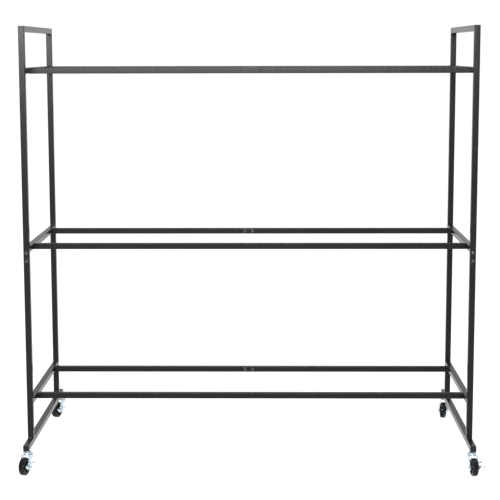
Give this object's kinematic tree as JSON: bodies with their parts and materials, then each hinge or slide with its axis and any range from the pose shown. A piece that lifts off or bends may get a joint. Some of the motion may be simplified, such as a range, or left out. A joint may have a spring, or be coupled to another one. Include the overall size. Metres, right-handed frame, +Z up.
{
  "type": "rolling clothes rack",
  "caption": "Wide free-standing rack of black square steel tube with three levels of paired rails between two end frames, on zinc-plated swivel castors with side brakes.",
  "frame": {"origin": "on the floor, under the middle of the box around the whole rack, castors and brake levers included", "axes": "+Z up, +X along the rails to the right as seen from the front, the front towards -Y"},
  "size_m": [1.9444, 1.0422, 1.85],
  "materials": {
    "powder_coat": "black powder coat, semi-gloss with a fine texture",
    "zinc": "bright bluish zinc plating",
    "black_rubber": "smooth black rubber",
    "black_plastic": "moulded black plastic"
  },
  "bodies": {
    "frame": {"castor_front_left_stem": "zinc", "castor_front_right_stem": "zinc", "castor_rear_left_stem": "zinc", "castor_rear_right_stem": "zinc", "left_base_bar": "powder_coat", "left_front_base_end_cap": "black_plastic", "left_front_lower_upright": "powder_coat", "left_front_upper_upright": "powder_coat", "left_lower_cross_bar": "powder_coat", "left_mid_cross_bar": "powder_coat", "left_rear_base_end_cap": "black_plastic", "left_rear_lower_upright": "powder_coat", "left_rear_upper_upright": "powder_coat", "left_top_bar": "powder_coat", "left_top_cross_bar": "powder_coat", "lower_front_rail_sleeve": "powder_coat", "lower_front_rail_spigot": "powder_coat", "lower_rear_rail_sleeve": "powder_coat", "lower_rear_rail_spigot": "powder_coat", "mid_front_rail_sleeve": "powder_coat", "mid_front_rail_spigot": "powder_coat", "mid_rear_rail_sleeve": "powder_coat", "mid_rear_rail_spigot": "powder_coat", "right_base_bar": "powder_coat", "right_front_base_end_cap": "black_plastic", "right_front_lower_upright": "powder_coat", "right_front_upper_upright": "powder_coat", "right_lower_cross_bar": "powder_coat", "right_mid_cross_bar": "powder_coat", "right_rear_base_end_cap": "black_plastic", "right_rear_lower_upright": "powder_coat", "right_rear_upper_upright": "powder_coat", "right_top_bar": "powder_coat", "right_top_cross_bar": "powder_coat", "top_front_rail_sleeve": "powder_coat", "top_front_rail_spigot": "powder_coat", "top_rear_rail_sleeve": "powder_coat", "top_rear_rail_spigot": "powder_coat"},
    "castor_front_left_swivel": {"castor_front_left_fork": "zinc", "castor_front_left_axle": "zinc"},
    "castor_front_left_wheel": {"castor_front_left_tyre": "black_rubber", "castor_front_left_wheel_core": "black_plastic"},
    "castor_front_left_brake": {"castor_front_left_brake_lever": "zinc"},
    "castor_front_right_swivel": {"castor_front_right_fork": "zinc", "castor_front_right_axle": "zinc"},
    "castor_front_right_wheel": {"castor_front_right_tyre": "black_rubber", "castor_front_right_wheel_core": "black_plastic"},
    "castor_front_right_brake": {"castor_front_right_brake_lever": "zinc"},
    "castor_rear_left_swivel": {"castor_rear_left_fork": "zinc", "castor_rear_left_axle": "zinc"},
    "castor_rear_left_wheel": {"castor_rear_left_tyre": "black_rubber", "castor_rear_left_wheel_core": "black_plastic"},
    "castor_rear_left_brake": {"castor_rear_left_brake_lever": "zinc"},
    "castor_rear_right_swivel": {"castor_rear_right_fork": "zinc", "castor_rear_right_axle": "zinc"},
    "castor_rear_right_wheel": {"castor_rear_right_tyre": "black_rubber", "castor_rear_right_wheel_core": "black_plastic"},
    "castor_rear_right_brake": {"castor_rear_right_brake_lever": "zinc"}
  },
  "joints": [
    {"name": "castor_front_left_swivel_turn", "type": "hinge", "parent": "frame", "child": "castor_front_left_swivel", "pos_m": [-0.93485, -0.4489, 0.086], "axis": [0, 0, 1], "continuous": true},
    {"name": "castor_front_left_wheel_roll", "type": "hinge", "parent": "castor_front_left_swivel", "child": "castor_front_left_wheel", "pos_m": [-0.94283, -0.48092, 0.0375], "axis": [0.9703, -0.2419, 0], "continuous": true},
    {"name": "castor_front_left_brake_press", "type": "hinge", "parent": "castor_front_left_swivel", "child": "castor_front_left_brake", "pos_m": [-0.94283, -0.48092, 0.0375], "axis": [0.9703, -0.2419, 0], "range_deg": [0, 18]},
    {"name": "castor_front_right_swivel_turn", "type": "hinge", "parent": "frame", "child": "castor_front_right_swivel", "pos_m": [0.92015, -0.4489, 0.086], "axis": [0, 0, 1], "continuous": true},
    {"name": "castor_front_right_wheel_roll", "type": "hinge", "parent": "castor_front_right_swivel", "child": "castor_front_right_wheel", "pos_m": [0.9236, -0.48172, 0.0375], "axis": [0.9945, 0.1045, 0], "continuous": true},
    {"name": "castor_front_right_brake_press", "type": "hinge", "parent": "castor_front_right_swivel", "child": "castor_front_right_brake", "pos_m": [0.9236, -0.48172, 0.0375], "axis": [0.9945, 0.1045, 0], "range_deg": [0, 18]},
    {"name": "castor_rear_left_swivel_turn", "type": "hinge", "parent": "frame", "child": "castor_rear_left_swivel", "pos_m": [-0.93485, 0.4911, 0.086], "axis": [0, 0, 1], "continuous": true},
    {"name": "castor_rear_left_wheel_roll", "type": "hinge", "parent": "castor_rear_left_swivel", "child": "castor_rear_left_wheel", "pos_m": [-0.94614, 0.46009, 0.0375], "axis": [0.9397, -0.342, 0], "continuous": true},
    {"name": "castor_rear_left_brake_press", "type": "hinge", "parent": "castor_rear_left_swivel", "child": "castor_rear_left_brake", "pos_m": [-0.94614, 0.46009, 0.0375], "axis": [0.9397, -0.342, 0], "range_deg": [0, 18]},
    {"name": "castor_rear_right_swivel_turn", "type": "hinge", "parent": "frame", "child": "castor_rear_right_swivel", "pos_m": [0.92015, 0.4911, 0.086], "axis": [0, 0, 1], "continuous": true},
    {"name": "castor_rear_right_wheel_roll", "type": "hinge", "parent": "castor_rear_right_swivel", "child": "castor_rear_right_wheel", "pos_m": [0.91161, 0.45922, 0.0375], "axis": [0.9659, -0.2588, 0], "continuous": true},
    {"name": "castor_rear_right_brake_press", "type": "hinge", "parent": "castor_rear_right_swivel", "child": "castor_rear_right_brake", "pos_m": [0.91161, 0.45922, 0.0375], "axis": [0.9659, -0.2588, 0], "range_deg": [0, 18]}
  ]
}
